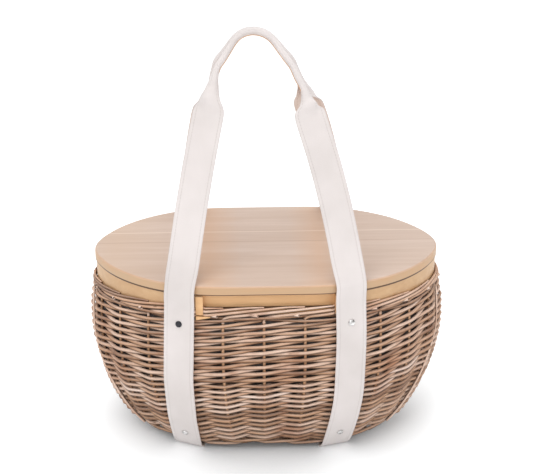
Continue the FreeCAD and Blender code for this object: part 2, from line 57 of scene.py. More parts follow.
STRAIGHT_SHARE = 0.239      # half of the plan outline's straight run, as a share of the half length
END_RADIUS_SHARE = 0.570    # radius round the ends, as a share of the half depth
FOOT_LENGTH, FOOT_DEPTH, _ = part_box("foot_border")[1]
FOOT_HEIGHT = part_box("foot_border")[0].z
BELLY_LENGTH, BELLY_DEPTH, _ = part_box("upper_weave")[1]
BELLY_HEIGHT = 0.155
MOUTH_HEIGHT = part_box("top_border")[1].z
MOUTH_LENGTH_LOSS = 0.005
MOUTH_DEPTH_LOSS = 0.003
LID_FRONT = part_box("lid_board_front")[0].y
LID_HALF_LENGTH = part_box("lid_board_front")[1].x
LID_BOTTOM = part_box("lid_board_front")[0].z
RIM_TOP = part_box("rim_band_left")[1].z
RIM_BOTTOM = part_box("rim_band_left")[0].z
RAIL_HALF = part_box("front_rail")[1].x
POST_WIDTH = 0.0092
RECESS_BOTTOM = 0.221
RECESS_BACK = -0.135

STAKES = 24
STAKE_PHASE = -0.126        # of one pitch, from the middle of the front
STAKE_RADIUS = 0.0020
STAKE_DEPTH = 0.0059        # from the outer surface to the stake's centre line

# ---------------------------------------------------------------- willow

SAMPLES = 7                 # points along a rod for each stake it passes
ROD_SIDES = 8
WEAVE_DEPTH = 0.0061        # middle of the weave
WEAVE_SWING = 0.0036        # how far a rod swings in front of and behind the stakes
END_BULGE = 0.0028          # how much further the strokes stand out round the ends
STROKE_SHARPNESS = 0.985    # 0 for round waves, 1 for straight strokes
TIGHT_BOTTOM = 0.0185       # the tight weave's first row
OPEN_BOTTOM = 0.1170        # where the open weave starts
OPEN_TOP = 0.2035
TIGHT_STEPS = 24            # stakes that one rod of the tight weave passes
OPEN_STEPS = 18
ROD_BUTT = 0.0027           # radii of a rod's thick and thin end
ROD_TIP = 0.0022
TIGHT_DIP = 0.0012          # how far the tight weave's strokes sink where they cross a stake
BORDER_BOTTOM = 0.2115
BORDER_TOP = 0.2228
BORDER_RADIUS = 0.0021
BORDER_DROP = 0.0055        # how much lower the border is at the ends
EYE_HEIGHT = 0.2128         # the cut ends that show in the border

LINER_DEPTH = 0.0125        # from the willow's outer surface to its inner face
LINER_BOTTOM = 0.0165
LINER_TOP = 0.2215
LINER_GAP = 0.0014          # from the willow to the cloth
LINER_TUCK = 0.0010         # how much further in the cloth lies beside the rim band
LINER_PUCKER = 0.0012
LINER_RINGS = 216           # steps round the wall
LINER_ROWS = 22
FLOOR_RINGS = 14
FLOOR_OVERLAP = 0.0016      # lifts the floor panel's edge past the wall panel's lower edge

WALE_HEIGHTS = (0.0068, 0.0108, 0.0148)     # the three rods round the foot
WALE_RADIUS = 0.0021
EYE_RADIUS = 0.0021
BASE_HEIGHT = 0.0072        # middle of the woven base
BASE_SPINE = 0.62           # the base's spine, as a share of its length
BASE_RINGS = 23
BASE_STICK = 0.0021         # radii of the base's sticks and of the rods woven through them
BASE_ROD = 0.0019
RIBS = (                    # (height, stake) up the rod that lies outside the weave at each end
    ((0.018, 4.35), (0.060, 4.62), (0.120, 5.0), (0.150, 5.25), (0.205, 5.3)),
    ((0.018, -4.35), (0.060, -4.7), (0.120, -5.1), (0.160, -5.25), (0.208, -5.3)))

# ---------------------------------------------------------------- webbing

WEB_WIDTH = 0.040
WEB_THICK = 0.002
WEB_LIFT = 0.0018           # from the willow's outer surface to the middle of the webbing
WEB_SAMPLES = 20
WEB_STEP = WEB_WIDTH / WEB_SAMPLES
STITCH_INSET = 0.0045
STITCH_LENGTH = 0.004
STRAP_TOP = 0.237
STRAP_HEIGHTS = (0.006, 0.012, 0.019, 0.027, 0.036, 0.046, 0.058, 0.072, 0.088, 0.106, 0.125, 0.145,
                 0.165, 0.185, 0.205, 0.225)
STRAP_X = {                 # (side, hand): (height, centre line) up the wall; side -1 front, hand -1 left
    (-1, -1): ((0.0, -0.106), (0.060, -0.113), (0.120, -0.116), (0.240, -0.112)),
    (-1, 1): ((0.0, 0.0875), (0.033, 0.0928), (0.060, 0.0975), (0.095, 0.102), (0.175, 0.104),
              (0.240, 0.1025)),
    (1, -1): ((0.0, -0.102), (0.240, -0.103)),
    (1, 1): ((0.0, 0.098), (0.240, 0.099)),
}
STRAP_TURN = ((-0.0058, 0.0010, 90.0), (-0.0019, 0.0019, 69.0))     # outwards, height, fall of the face
STRAP_FLAT = FOOT_DEPTH - 0.022
LEG_FOOT = Vector((0, 0.143, 0.253))
GRIP_Y = 0.0088
GRIP_Z = {-1: 0.5435, 1: 0.5410}
GRIP_START = 0.0456
GRIP_ARC = {-1: (0.030, math.radians(58)), 1: (0.034, math.radians(55))}       # left, right: radius, turn
GRIP_TOP_X = -0.0155
LEG_BOW = {-1: 0.003, 1: 0.008}
LEG_BASE = {-1: (-0.004, 0.107), 1: (-0.0015, 0.101)}
LEG_SHARES = (0.10, 0.22, 0.36, 0.50, 0.62, 0.72, 0.79, 0.85, 0.90, 0.95, 1.0)
NECK = {                    # (side, hand): where the leg narrows (a share of its length), and its shift
    (-1, -1): (0.92, 0.0015), (-1, 1): (0.88, 0.0040), (1, -1): (0.92, 0.0010), (1, 1): (0.86, 0.0012)}
NECK_REACH = 0.07
FOLD_SPAN = {               # (side, hand): the shares of the leg between which the webbing folds
    (-1, -1): (0.76, 0.99), (-1, 1): (0.765, 0.89), (1, -1): (0.66, 0.88), (1, 1): (0.68, 0.89)}
FOLD_TURN = 5.97            # radians from one edge of the folded webbing round to the other
FOLD_ROLL = {-1: 0.0, 1: -0.4}      # front, back: how the folded webbing leans about its own length
CORE_RADIUS = 0.0018        # the tan cord along the seam under the grip, whose colour is painted warm shade along the grip's inner edge
CORE_OFFSET = 0.0028

# ---------------------------------------------------------------- view and light

TARGET = Vector((0.0007, 0, 0.2617))
CAMERA_DISTANCE = 2.0
CAMERA_ELEVATION = math.radians(21)
CAMERA_YAW = math.radians(1.4)
CAMERA_ROLL = math.radians(-0.3)
CAMERA_LENS = 100.9
LAMPS = (("key", (-0.9, -1.5, 2.6), 2.2, 34.0), ("top", (0.3, 0.4, 3.0), 2.6, 26.0),
         ("fill", (1.8, -2.0, 1.2), 1.8, 9.0))      # name, place, size, energy

rng = random.Random(27)


# ---------------------------------------------------------------- the wall's surface

def belly_share(z):
    """0 at the foot, 1 at the belly."""
    u = min(max((z - FOOT_HEIGHT) / (BELLY_HEIGHT - FOOT_HEIGHT), 0.0), 1.0)
    rest = (1 - u) ** 2
    return 0.5 * (math.sqrt(1 - rest) + 1 - rest)


def wall_sizes(z):
    """Half length and half depth of the willow body at height z."""
    share = belly_share(z)
    above = max(z - BELLY_HEIGHT, 0.0) / (MOUTH_HEIGHT - BELLY_HEIGHT)
    length = FOOT_LENGTH + (BELLY_LENGTH - FOOT_LENGTH) * share - MOUTH_LENGTH_LOSS * above ** 2
    depth = FOOT_DEPTH + (BELLY_DEPTH - FOOT_DEPTH) * share - MOUTH_DEPTH_LOSS * above ** 2
    return length, depth


def wall_slope(z):
    """How fast the wall moves outwards with height, at the ends."""
    step = 0.0005
    return (wall_sizes(z + step)[0] - wall_sizes(z - step)[0]) / (2 * step)


def outline(fraction, length, depth):
    """The plan outline's point a fraction of the way round from the middle of the front, and its normal."""
    straight = STRAIGHT_SHARE * length
    end = END_RADIUS_SHARE * depth
    run = length - end - straight
    wide = (run ** 2 + depth ** 2 - end ** 2) / (2 * (depth - end))
    wide_turn = math.pi / 2 - math.atan2(wide - depth, run)
    quarter = straight + wide * wide_turn + end * (math.pi / 2 - wide_turn)
    way = (fraction % 1.0) * 4
    number = int(way)
    along = (way - number) * quarter
    if number % 2:
        along = quarter - along
    if along < straight:
        x, y, turn = along, depth, 0.0
    elif along < straight + wide * wide_turn:
        turn = (along - straight) / wide
        x = straight + wide * math.sin(turn)
        y = depth - wide + wide * math.cos(turn)
    else:
        turn = wide_turn + (along - straight - wide * wide_turn) / end
        x = length - end + end * math.sin(turn)
        y = end * math.cos(turn)
    hand = 1 if number in (0, 1) else -1
    side = -1 if number in (0, 3) else 1
    return hand * x, side * y, Vector((hand * math.sin(turn), side * math.cos(turn), 0))


def wall(fraction, z, depth_in=0.0):
    """A point of the wall, depth_in behind its outer surface."""
    x, y, outward = outline(fraction, *wall_sizes(z))
    normal = (outward - Vector((0, 0, wall_slope(z)))).normalized()
    return Vector((x, y, z)) - normal * depth_in


def wall_spot(x, z, side, sizes=None):
    """The wall's point at x and z, in front (side -1) or behind (side 1), its normal and level tangent."""
    def reach(height):
        length, depth = sizes or wall_sizes(height)
        straight = STRAIGHT_SHARE * length
        end = END_RADIUS_SHARE * depth
        run = length - end - straight
        wide = (run ** 2 + depth ** 2 - end ** 2) / (2 * (depth - end))
        over = max(abs(x) - straight, 0.0)
        return depth - wide + math.sqrt(wide ** 2 - over ** 2), over / wide

    y, lean = reach(z)
    step = 0.0005
    growth = (reach(z + step)[0] - reach(z - step)[0]) / (2 * step)
    across = math.copysign(lean, x)
    level = math.sqrt(1 - lean ** 2)
    normal = Vector((across, side * level, -growth * level)).normalized()
    return Vector((x, side * y, z)), normal, Vector((level, -side * across, 0))


def smoothstep(low, high, x):
    """0 below low and 1 above high, with a smooth rise between them."""
    t = min(max((x - low) / (high - low), 0.0), 1.0)
    return t * t * (3 - 2 * t)


def interpolate(table, x):
    """The value at x of a table of (place, value) pairs, along straight lines."""
    for (x0, y0), (x1, y1) in zip(table, table[1:]):
        if x <= x1:
            return y0 + (y1 - y0) * (x - x0) / (x1 - x0)
    return table[-1][1]


def spline(points, samples):
    """A smooth curve through points, as numbers or vectors, with samples steps between two of them."""
    found = []
    for k in range(len(points) - 1):
        a = points[max(k - 1, 0)]
        b, c = points[k], points[k + 1]
        d = points[min(k + 2, len(points) - 1)]
        for i in range(samples):
            t = i / samples
            found.append(0.5 * ((2 * b) + (c - a) * t + (2 * a - 5 * b + 4 * c - d) * t * t
                                + (3 * b - 3 * c + d - a) * t ** 3))
    found.append(points[-1])
    return found


# ---------------------------------------------------------------- materials

class Graph:
    """A node material. Sockets given as inputs are linked and other values are set."""

    def __init__(self, name, **principled):
        self.material = bpy.data.materials.new(name)
        self.material.use_nodes = True
        self.nodes = self.material.node_tree.nodes
        self.links = self.material.node_tree.links
        self.shader = self.nodes["Principled BSDF"]
        self.feed(self.shader, {key.replace("_", " "): value for key, value in principled.items()})

    def feed(self, node, inputs):
        """Links the inputs that are sockets and sets the others."""
        for key, value in inputs.items():
            if isinstance(value, bpy.types.NodeSocket):
                self.links.new(value, node.inputs[key])
            else:
                node.inputs[key].default_value = value

    def node(self, kind, inputs=None, **settings):
        node = self.nodes.new("ShaderNode" + kind)
        for key, value in settings.items():
            setattr(node, key, value)
        self.feed(node, inputs or {})
        return node

    def uv(self, *scale):
        """UV coordinates, scaled."""
        coords = self.node("UVMap").outputs["UV"]
        return self.node("Mapping", {"Vector": coords, "Scale": scale}).outputs["Vector"]

    def place(self, *scale):
        """The piece's own coordinates, in metres, scaled."""
        coords = self.node("TexCoord").outputs["Object"]
        return self.node("Mapping", {"Vector": coords, "Scale": scale}).outputs["Vector"]

    def noise(self, vector, scale=1.0, detail=3.0, roughness=0.5, distortion=0.0):
        return self.node("TexNoise", {"Vector": vector, "Scale": scale, "Detail": detail,
                                      "Roughness": roughness, "Distortion": distortion}).outputs["Fac"]

    def maths(self, operation, *values):
        node = self.node("Math", operation=operation)
        self.feed(node, dict(enumerate(values)))
        return node.outputs[0]

    def span(self, value, low, high, to_low=0.0, to_high=1.0):
        """value moved from the range low to high into the range to_low to to_high, and held at its ends."""
        return self.node("MapRange", {"Value": value, "From Min": low, "From Max": high,
                                      "To Min": to_low, "To Max": to_high}).outputs["Result"]

    def ramp(self, factor, *stops):
        node = self.node("ValToRGB", {"Fac": factor})
        elements = node.color_ramp.elements
        while len(elements) < len(stops):
            elements.new(0.5)
        for element, (position, colour) in zip(elements, stops):
            element.position = position
            element.color = (*colour, 1)
        return node.outputs["Color"]

    def mix(self, factor, first, second, blend="MIX"):
        node = self.node("Mix", data_type="RGBA", blend_type=blend)
        self.feed(node, {0: factor})
        for key, value in ((6, first), (7, second)):
            self.feed(node, {key: value if isinstance(value, bpy.types.NodeSocket) else (*value, 1)})
        return node.outputs[2]

    def finish(self, colour, roughness=None, height=None, strength=0.5, distance=0.001):
        """Feeds the shader and gives back the finished material. height makes the bump."""
        self.feed(self.shader, {"Base Color": colour})
        if roughness is not None:
            self.feed(self.shader, {"Roughness": roughness})
        if height is not None:
            bump = self.node("Bump", {"Height": height, "Strength": strength, "Distance": distance})
            self.feed(self.shader, {"Normal": bump.outputs["Normal"]})
        return self.material


def srgb(red, green, blue):
    """A colour given as it looks on a screen, 0 to 255, in the renderer's own scale."""
    return tuple((c / 255 / 12.92) if c < 10.3 else ((c / 255 + 0.055) / 1.055) ** 2.4
                 for c in (red, green, blue))


def willow_material(name, light, middle, dark, under):
    """Peeled, weathered rods: one tone for each rod, long grain, a painted highlight on the tops and painted
    shade on the undersides, stain marks and bud scars.
    """
    g = Graph(name, Specular_IOR_Level=0.35)
    tone = g.node("Attribute", attribute_name="tone").outputs["Fac"]
    grain = g.noise(g.uv(35, 5, 1), 1.0, 4.0, 0.6)
    fibre = g.noise(g.uv(90, 30, 1), 1.0, 2.0)
    stain = g.noise(g.place(22, 22, 22), 1.0, 3.0, 0.6)
    value = g.maths("ADD", g.maths("MULTIPLY", tone, 0.55), g.maths("MULTIPLY", grain, 0.45))
    colour = g.ramp(value, (0.12, dark), (0.42, middle), (0.80, light))
    around = g.node("SeparateXYZ", {"Vector": g.node("UVMap").outputs["UV"]}).outputs["Y"]
    upwards = g.maths("SINE", g.maths("MULTIPLY", around, 2 * math.pi))
    # Painted light: by the angle round each rod, the tops are lightened as a painted highlight and the
    # undersides are darkened with the under colour as painted shade.
    colour = g.mix(g.span(upwards, 0.1, 0.9, 0.0, 0.35), colour, light)
    colour = g.mix(g.span(upwards, 0.20, -0.65, 0.0, 0.90), colour, under)
    colour = g.mix(g.span(stain, 0.50, 0.72, 0.0, 0.55), colour, middle, "MULTIPLY")
    scar = g.node("TexVoronoi", {"Vector": g.uv(26, 1.4, 1), "Scale": 1.0}).outputs["Distance"]
    colour = g.mix(g.span(scar, 0.05, 0.10, 0.75, 0.0), colour, dark)
    height = g.maths("ADD", g.maths("MULTIPLY", fibre, 0.6), g.maths("MULTIPLY", grain, 0.6))
    return g.finish(colour, g.span(grain, 0.3, 0.7, 0.5, 0.75), height, 0.5, 0.0006)


def wood_material(name, light, middle, dark, side=None, joints=(), shadow_seams=(), warm_bands=()):
    """Lacquered pale wood, grained along X. side gives the sides and the worn top edge colours of their own,
    joints are glue lines (place, colour, share), warm_bands are warmer bands (place, half width, colour,
    share), painted shade and reflection where they lie beside the straps, and shadow_seams are thin lines of
    painted shadow in the gaps (height, half length, furthest y, share on a level face)."""
    g = Graph(name, Specular_IOR_Level=0.4, Coat_Weight=0.15, Coat_Roughness=0.35)
    bend = g.noise(g.place(1.2, 5, 5), 1.0, 2.0)
    streak = g.noise(g.place(3, 42, 42), 1.0, 5.0, 0.65, 0.4)
    fine = g.noise(g.place(12, 168, 168), 1.0, 3.0, 0.6)
    value = g.maths("ADD", g.maths("MULTIPLY", streak, 0.55), g.maths("MULTIPLY", bend, 0.45))
    colour = g.ramp(value, (0.30, dark), (0.5, middle), (0.68, light))
    colour = g.mix(g.span(fine, 0.42, 0.60, 0.28, 0.0), colour, dark)
    coords = g.node("TexCoord")
    place = g.node("SeparateXYZ", {"Vector": coords.outputs["Object"]})
    # Warmer bands across the grain, ragged by the streak noise; beside the straps they are painted shade and
    # reflection of the straps.
    for x, half, shade, share in warm_bands:
        near = g.maths("ABSOLUTE", g.maths("SUBTRACT", place.outputs["X"], x))
        near = g.maths("ADD", near, g.maths("MULTIPLY", streak, half))
        colour = g.mix(g.span(near, half * 0.5, half * 1.8, share, 0.0), colour, shade)
    for y, shade, share in joints:
        near = g.maths("ABSOLUTE", g.maths("SUBTRACT", place.outputs["Y"], y))
        colour = g.mix(g.span(near, 0.0006, 0.0016, share, 0.0), colour, shade)
    level = g.node("SeparateXYZ", {"Vector": coords.outputs["Normal"]}).outputs["Z"]
    level = g.maths("ABSOLUTE", level)
    if side:
        face, edge = side
        tan = g.mix(g.span(streak, 0.35, 0.65, 0.0, 0.5), face, edge)
        colour = g.mix(g.span(level, 0.75, 0.98, 0.5, 0.0), colour, edge)
        colour = g.mix(g.span(level, 0.10, 0.35, 1.0, 0.0), colour, tan)
    # Painted shadow: a thin line in the gap shade colour at each seam height, where shade falls in the gap
    # under the lid or above the border.
    for height, reach, back, level_share in shadow_seams:
        near = g.maths("ABSOLUTE", g.maths("SUBTRACT", place.outputs["Z"], height))
        within = g.span(g.maths("ABSOLUTE", place.outputs["X"]), reach - 0.001, reach, 1.0, 0.0)
        within = g.maths("MULTIPLY", within, g.span(place.outputs["Y"], back - 0.001, back, 1.0, 0.0))
        upright = g.span(level, 0.3, 0.6, 1.0, level_share)
        gap = g.span(near, 0.0007, 0.0012, 0.95, 0.0)
        gap = g.maths("MULTIPLY", gap, g.maths("MULTIPLY", within, upright))
        colour = g.mix(gap, colour, GAP_SHADE_BROWN)
    height = g.maths("ADD", g.maths("MULTIPLY", fine, 0.7), g.maths("MULTIPLY", streak, 0.5))
    return g.finish(colour, g.span(streak, 0.3, 0.7, 0.42, 0.58), height, 0.25, 0.0004)


def webbing_material(name, light, dark):
    """Thick cotton webbing in a plain weave, with a stitched line along each edge and soft soiling."""
    g = Graph(name, Specular_IOR_Level=0.2, Sheen_Weight=0.25, Sheen_Roughness=0.5)
    warp = g.node("TexWave", {"Vector": g.uv(0, 1, 0), "Scale": 330.0, "Distortion": 0.4, "Detail": 1.0},
                  wave_type="BANDS", bands_direction="Y").outputs["Fac"]
    weft = g.node("TexWave", {"Vector": g.uv(1, 0, 0), "Scale": 260.0, "Distortion": 0.4, "Detail": 1.0},
                  wave_type="BANDS", bands_direction="X").outputs["Fac"]
    yarn = g.maths("MULTIPLY", warp, weft)
    soft = g.noise(g.place(14, 14, 14), 1.0, 3.0)
    colour = g.mix(g.span(soft, 0.35, 0.70, 0.0, 0.7), light, dark)
    colour = g.mix(g.span(yarn, 0.0, 0.35, 0.30, 0.0), colour, dark, "MULTIPLY")
    place = g.node("SeparateXYZ", {"Vector": g.node("UVMap").outputs["UV"]})
    across = g.maths("MODULO", place.outputs["Y"], WEB_WIDTH + WEB_STEP)
    from_middle = g.maths("ABSOLUTE", g.maths("SUBTRACT", across, WEB_WIDTH / 2))
    seam = g.maths("ABSOLUTE", g.maths("SUBTRACT", from_middle, WEB_WIDTH / 2 - STITCH_INSET))
    stitch = g.span(g.maths("SINE", g.maths("MULTIPLY", place.outputs["X"], 2 * math.pi / STITCH_LENGTH)),
                    -0.6, 0.0, 0.4, 1.0)
    seam = g.maths("MULTIPLY", g.span(seam, 0.0003, 0.0008, 1.0, 0.0), stitch)
    colour = g.mix(g.maths("MULTIPLY", seam, 0.35), colour, dark, "MULTIPLY")
    fuzz = g.noise(g.place(900, 900, 900), 1.0, 2.0)
    height = g.maths("ADD", yarn, g.maths("MULTIPLY", fuzz, 0.4))
    height = g.maths("SUBTRACT", height, g.maths("MULTIPLY", seam, 1.5))
    return g.finish(colour, g.span(fuzz, 0.3, 0.7, 0.78, 0.95), height, 0.35, 0.0004)


def cloth_material(name, light, dark):
    """The liner's woven cloth, with painted shade darkening its lower part."""
    g = Graph(name, Specular_IOR_Level=0.2, Sheen_Weight=0.3, Sheen_Roughness=0.5)
    warp = g.node("TexWave", {"Vector": g.uv(0, 1, 0), "Scale": 500.0, "Distortion": 0.6},
                  wave_type="BANDS", bands_direction="Y").outputs["Fac"]
    weft = g.node("TexWave", {"Vector": g.uv(1, 0, 0), "Scale": 500.0, "Distortion": 0.6},
                  wave_type="BANDS", bands_direction="X").outputs["Fac"]
    yarn = g.maths("MULTIPLY", warp, weft)
    melange = g.noise(g.place(120, 120, 260), 1.0, 4.0, 0.7)
    colour = g.ramp(melange, (0.32, dark), (0.68, light))
    colour = g.mix(g.span(yarn, 0.0, 0.4, 0.4, 0.0), colour, dark)
    height = g.node("SeparateXYZ", {"Vector": g.node("TexCoord").outputs["Object"]}).outputs["Z"]
    # Painted shade: below 0.14 m the cloth darkens to the gap shade colour, where the packed rods shade it.
    colour = g.mix(g.span(height, 0.09, 0.14, 0.7, 0.0), colour, GAP_SHADE_BROWN)
    return g.finish(colour, g.span(melange, 0.3, 0.7, 0.8, 0.95), yarn, 0.4, 0.0003)


def leather_material(name, light, dark):
    """Pebbled tan leather with soft wear; on the grip core its tan is painted warm shade."""
    g = Graph(name, Specular_IOR_Level=0.4)
    cell = g.node("TexVoronoi", {"Vector": g.place(700, 700, 700), "Scale": 1.0}).outputs["Distance"]
    wear = g.noise(g.place(60, 60, 60), 1.0, 3.0)
    colour = g.mix(g.span(wear, 0.35, 0.65), light, dark)
    return g.finish(colour, g.span(cell, 0.0, 0.8, 0.45, 0.6), cell, 0.3, 0.0003)


def metal_material(name, light, dark, roughness, dark_reflection_x=None):
    """Plated metal with fine scratches and duller patches. dark_reflection_x paints a near-black reflection
    on what lies left of an x.
    """
    g = Graph(name, Metallic=1.0)
    patch = g.noise(g.place(260, 260, 260), 1.0, 3.0)
    scratch = g.noise(g.place(150, 2500, 1800), 1.0, 2.0)
    colour = g.mix(g.span(patch, 0.4, 0.7), light, dark)
    if dark_reflection_x is not None:
        # Painted reflection: the metal left of the given x is near black, as a dark reflection.
        x = g.node("SeparateXYZ", {"Vector": g.node("TexCoord").outputs["Object"]}).outputs["X"]
        colour = g.mix(g.span(x, dark_reflection_x - 0.001, dark_reflection_x, 1.0, 0.0), colour, (0.045, 0.045, 0.05))
    rough = g.span(patch, 0.3, 0.7, roughness, roughness + 0.2)
    return g.finish(colour, rough, scratch, 0.12, 0.0002)


# The colour of painted shade in the gaps under the lid and above the border, and in the liner's lower part.
GAP_SHADE_BROWN = srgb(62, 40, 26)
# The last colour of each willow material is the painted shade on its rods' undersides.
WILLOW = willow_material("willow_rods", srgb(233, 209, 194), srgb(192, 148, 114), srgb(118, 80, 54),
                         srgb(62, 38, 25))
STAKE_WILLOW = willow_material("willow_stakes", srgb(208, 166, 130), srgb(184, 140, 106), srgb(132, 94, 66),
                               srgb(104, 70, 46))
LID_WOOD = wood_material("lid_wood", srgb(212, 192, 179), srgb(204, 183, 169), srgb(189, 164, 146),
                         side=(srgb(187, 156, 123), srgb(198, 152, 110)),
                         joints=((0.010, srgb(168, 136, 114), 0.45), (0.047, srgb(228, 210, 196), 0.65)),
                         shadow_seams=((LID_BOTTOM, LID_HALF_LENGTH, 1.0, 0.0),),
                         # The bands at -0.075 and 0.068, beside the straps, are painted shade and reflection
                         # cast by the straps on the lid.
                         warm_bands=((-0.075, 0.032, srgb(212, 168, 130), 0.42),
                                 (0.068, 0.028, srgb(214, 170, 132), 0.36),
                                 (-0.200, 0.055, srgb(200, 172, 148), 0.55)))
RIM_WOOD = wood_material("rim_wood", srgb(212, 179, 142), srgb(200, 164, 124), srgb(184, 144, 102),
                         shadow_seams=((RIM_TOP, LID_HALF_LENGTH, 1.0, 0.0),))
# The rail's wood is the rim's wood painted lighter, as painted light in the recess that the lid shades, with
# painted shadow lines under the lid and above the border.
RAIL_WOOD_LIT = wood_material("rail_wood_painted_light", srgb(228, 188, 141), srgb(219, 174, 125), srgb(203, 156, 107),
                          shadow_seams=((RIM_TOP, LID_HALF_LENGTH, 1.0, 0.0),
                                 (RECESS_BOTTOM, RAIL_HALF - POST_WIDTH, RECESS_BACK, 1.0)))
WEBBING = webbing_material("webbing_face", srgb(222, 215, 213), srgb(207, 200, 197))
# The reverse face is a warmer, darker copy of the webbing: painted warm bounce light and shade inside the
# folds.
WEBBING_BACK = webbing_material("webbing_reverse_bounce_tint", srgb(222, 208, 200), srgb(212, 192, 180))
LINER_CLOTH = cloth_material("liner_cloth", srgb(140, 133, 131), srgb(90, 85, 84))
TAN_CORE_SHADE = leather_material("grip_core_tan_shade", srgb(208, 158, 108), srgb(188, 138, 90))
RIVET_METAL = metal_material("rivet_metal", (0.78, 0.77, 0.76), (0.22, 0.21, 0.20), 0.22)
DARK_REFLECTION_RIVET_METAL = metal_material("rivet_metal_dark_reflection", (0.78, 0.77, 0.76), (0.22, 0.21, 0.20), 0.22,
                                  dark_reflection_x=0.0)
BRASS = metal_material("hinge_brass", (0.62, 0.46, 0.22), (0.42, 0.29, 0.13), 0.3)
STEEL = metal_material("steel", (0.62, 0.61, 0.60), (0.42, 0.42, 0.41), 0.25)


# ---------------------------------------------------------------- meshes

def place_piece(name, vertices, faces, coords, material, body=None, tones=None, second=None,
                marks=None):
    """A smooth mesh piece. coords has a UV for each corner, marks the faces that take the second material."""
    mesh = bpy.data.meshes.new(name)
    mesh.from_pydata([tuple(v) for v in vertices], [], faces)
    layer = mesh.uv_layers.new(name="UVMap")
    flat = [value for face in coords for corner in face for value in corner]
    layer.data.foreach_set("uv", flat)
    mesh.polygons.foreach_set("use_smooth", [True] * len(faces))
    mesh.materials.append(material)
    if second:
        mesh.materials.append(second)
        mesh.polygons.foreach_set("material_index", marks)
    if tones:
        mesh.attributes.new("tone", "FLOAT", "POINT").data.foreach_set("value", tones)
    mesh.update()
    piece = bpy.data.objects.new(name, mesh)
    bpy.context.scene.collection.objects.link(piece)
    if body:
        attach(piece, body)
    return piece


class Rods:
    """Round rods gathered into one mesh, each with a tone of its own."""

    def __init__(self):
        self.vertices = []
        self.faces = []
        self.coords = []
        self.tones = []

    def add(self, points, radii, upright=False, closed=False, tone=None):
        tone = rng.random() if tone is None else tone
        start = len(self.vertices)
        count = len(points)
        shift = rng.randrange(50)
        length = 0.0
        lengths = []
        for k, point in enumerate(points):
            ahead = points[(k + 1) % count] if closed else points[min(k + 1, count - 1)]
            behind = points[k - 1] if closed or k else points[0]
            tangent = (ahead - behind).normalized()
            reference = Vector((point.x, point.y, 0)) if upright else Vector((0, 0, 1))
            across = tangent.cross(reference).normalized()
            above = across.cross(tangent)
            for i in range(ROD_SIDES):
                angle = 2 * math.pi * i / ROD_SIDES
                spoke = across * math.cos(angle) + above * math.sin(angle)
                self.vertices.append(point + spoke * radii[k])
                self.tones.append(tone)
            lengths.append(length)
            length += (points[(k + 1) % count] - point).length
        lengths.append(length)
        for k in range(count if closed else count - 1):
            for i in range(ROD_SIDES):
                j = (i + 1) % ROD_SIDES
                near, far = start + k * ROD_SIDES, start + (k + 1) % count * ROD_SIDES
                self.faces.append((near + i, far + i, far + j, near + j))
                v0, v1 = i / ROD_SIDES + shift, (i + 1) / ROD_SIDES + shift
                u0, u1 = lengths[k] + shift, lengths[k + 1] + shift
                self.coords.append(((u0, v0), (u1, v0), (u1, v1), (u0, v1)))
        if not closed:
            first = tuple(start + i for i in range(ROD_SIDES))
            last = tuple(start + (count - 1) * ROD_SIDES + i for i in reversed(range(ROD_SIDES)))
            for cap in (first, last):
                self.faces.append(cap)
                self.coords.append(tuple((shift, i / ROD_SIDES) for i in range(ROD_SIDES)))

    def piece(self, name, *nodes, material=WILLOW, slot="willow"):
        made = place_piece(name, self.vertices, self.faces, self.coords, material, "basket",
                           self.tones)
        if nodes:
            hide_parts(*nodes)
        return made


def stake_fraction(number):
    """Where a stake stands, as a fraction of the way round."""
    return (number + STAKE_PHASE) / STAKES


def rod_tone():
    """Most rods are middling, a few are pale or dark."""
    return min(max(rng.gauss(0.48, 0.28), 0.0), 1.0)


def stroke(step):
    """1 behind a stake and -1 before the next, almost straight between them."""
    return math.asin(STROKE_SHARPNESS * math.cos(math.pi * step)) / math.asin(STROKE_SHARPNESS)


def weave(rods, bottom, top, steps, dip=0.0):
    """French randing: a rod from every stake passes before one stake and behind the next as it climbs."""
    rise = (top - bottom) / steps
    for first in range(STAKES):
        seed = Vector((first * 3.7, bottom * 50, 0.0))
        points = []
        radii = []
        for k in range(steps * SAMPLES + 1):
            step = k / SAMPLES
            drift = noise.noise(seed + Vector((0, 0, step * 0.7)))
            waver = noise.noise(seed + Vector((5, 0, step * 0.9)))
            z = bottom + rise * step + 0.0007 * drift + dip * stroke(step)
            fraction = stake_fraction(first + step)
            reach = abs(outline(fraction, 1.0, BELLY_DEPTH / BELLY_LENGTH)[0])
            depth = WEAVE_DEPTH + WEAVE_SWING * stroke(step) + 0.0004 * waver
            bulge = END_BULGE * smoothstep(0.78, 0.95, reach) * (1 - smoothstep(0.175, OPEN_TOP, z))
            depth += bulge * min(stroke(step), 0.0)
            points.append(wall(fraction, z, depth))
            radii.append((ROD_BUTT + (ROD_TIP - ROD_BUTT) * step / steps) * (1 + 0.08 * drift))
        rods.add(points, radii, tone=rod_tone())


def wale(rods, height, lift, radius, first):
    """A rod that goes all round, before two stakes and behind one, rising across each stroke."""
    points = []
    for k in range(STAKES * SAMPLES):
        step = k / SAMPLES
        beat = 2 * math.pi * (step + first) / 3
        swing = max((math.cos(beat) - 0.25) / 0.75, -1.0)
        z = height - lift * math.sin(beat)
        points.append(wall(stake_fraction(step), z, WEAVE_DEPTH + (WEAVE_SWING - 0.0002) * swing))
    rods.add(points, [radius] * len(points), closed=True, tone=rod_tone())


def tight_weave():
    """The lower wall, packed tight."""
    rods = Rods()
    weave(rods, TIGHT_BOTTOM, OPEN_BOTTOM, TIGHT_STEPS, TIGHT_DIP)
    rods.piece("willow_tight_weave", "lower_weave")


def open_weave():
    """The upper wall, with gaps that show the liner."""
    rods = Rods()
    weave(rods, OPEN_BOTTOM, OPEN_TOP, OPEN_STEPS)
    rods.piece("willow_open_weave", "upper_weave")


